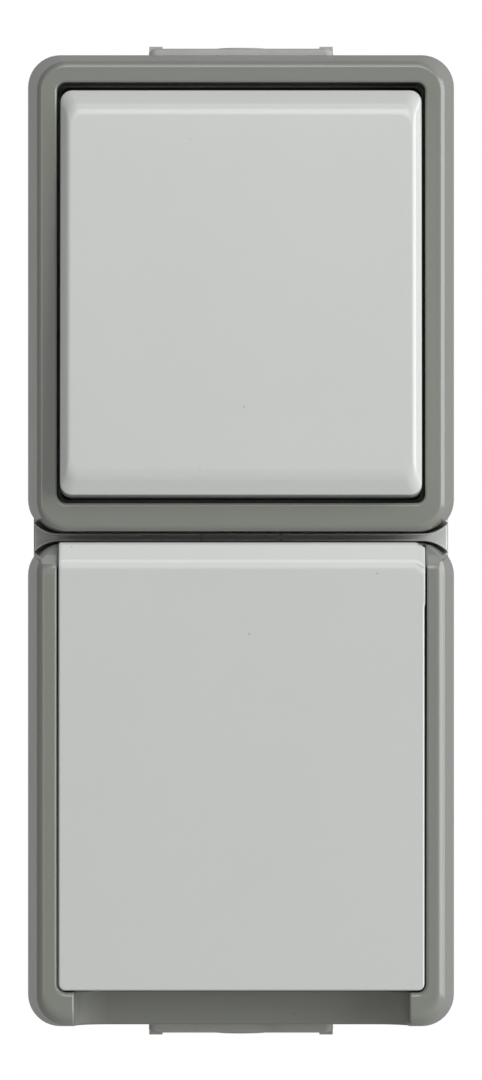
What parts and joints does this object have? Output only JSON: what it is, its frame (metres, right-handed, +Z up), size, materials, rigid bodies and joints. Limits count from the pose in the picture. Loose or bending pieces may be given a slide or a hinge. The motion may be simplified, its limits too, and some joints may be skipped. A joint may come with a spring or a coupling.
{
  "type": "rocker switch and lidded socket unit",
  "caption": "Surface-mounted splash-proof unit: a rocker switch above an earthed socket outlet under a sprung lid, in grey plastic.",
  "frame": {"origin": "centre of the base's flat back face, where it meets the wall", "axes": "+Z up, -Y out of the wall towards the user, +X to the right as the user sees it"},
  "size_m": [0.066, 0.0527, 0.1536],
  "materials": {
    "pale_grey_housing": "satin moulded",
    "dark_grey_frame": "satin moulded",
    "soft_grey_grommet": "soft matte",
    "soft_black_seal": "soft matte",
    "insulator": "matte thermoset",
    "contact_brass": "rolled",
    "contact_silver": "bright",
    "zinc_steel": "zinc plated"
  },
  "bodies": {
    "housing": {"base_box": "pale_grey_housing", "cable_entry_top": "soft_grey_grommet", "cable_entry_bottom": "soft_grey_grommet", "switch_frame": "dark_grey_frame", "socket_frame": "dark_grey_frame", "switch_frame_seal": "soft_black_seal", "socket_frame_seal": "soft_black_seal", "rocker_seal": "soft_black_seal", "switch_body": "insulator", "switch_plate": "zinc_steel", "common_terminal": "contact_brass", "line_terminal_1": "contact_brass", "line_terminal_2": "contact_brass", "socket_body": "insulator", "socket_plate": "zinc_steel", "live_contact": "contact_brass", "neutral_contact": "contact_brass", "earth_strap": "contact_brass", "socket_cover": "pale_grey_housing", "socket_cover_screw": "zinc_steel", "switch_terminal_screw_1": "zinc_steel", "switch_terminal_screw_2": "zinc_steel", "switch_terminal_screw_3": "zinc_steel", "socket_terminal_screw_1": "zinc_steel", "socket_terminal_screw_2": "zinc_steel", "socket_terminal_screw_3": "zinc_steel", "switch_fixing_screw_1": "zinc_steel", "switch_fixing_screw_2": "zinc_steel", "socket_fixing_screw_1": "zinc_steel", "socket_fixing_screw_2": "zinc_steel", "lid_hinge_pin": "zinc_steel", "lid_spring": "zinc_steel"},
    "rocker": {"rocker_cap": "pale_grey_housing", "rocker_yoke": "insulator", "toggle_plunger": "zinc_steel", "toggle_spring": "zinc_steel"},
    "lever": {"contact_lever": "contact_brass", "contact_rivet_1": "contact_silver", "contact_rivet_2": "contact_silver"},
    "lid": {"socket_lid": "pale_grey_housing", "lid_seal": "soft_black_seal"}
  },
  "joints": [
    {"name": "rocker_tilt", "type": "hinge", "parent": "housing", "child": "rocker", "pos_m": [0, -0.0455, 0.038], "axis": [1, 0, 0], "range_deg": [0, 7]},
    {"name": "lever_tilt", "type": "hinge", "parent": "housing", "child": "lever", "pos_m": [0, -0.0262, 0.038], "axis": [1, 0, 0], "range_deg": [-14, 0]},
    {"name": "lid_open", "type": "hinge", "parent": "housing", "child": "lid", "pos_m": [0, -0.0455, -0.0043], "axis": [-1, 0, 0], "range_deg": [0, 95], "stiffness_Nm_per_rad": 0.005, "springref_deg": -114.59}
  ],
  "couplings": [
    {"joint": "lever_tilt", "follows": "rocker_tilt", "ratio": -2}
  ]
}
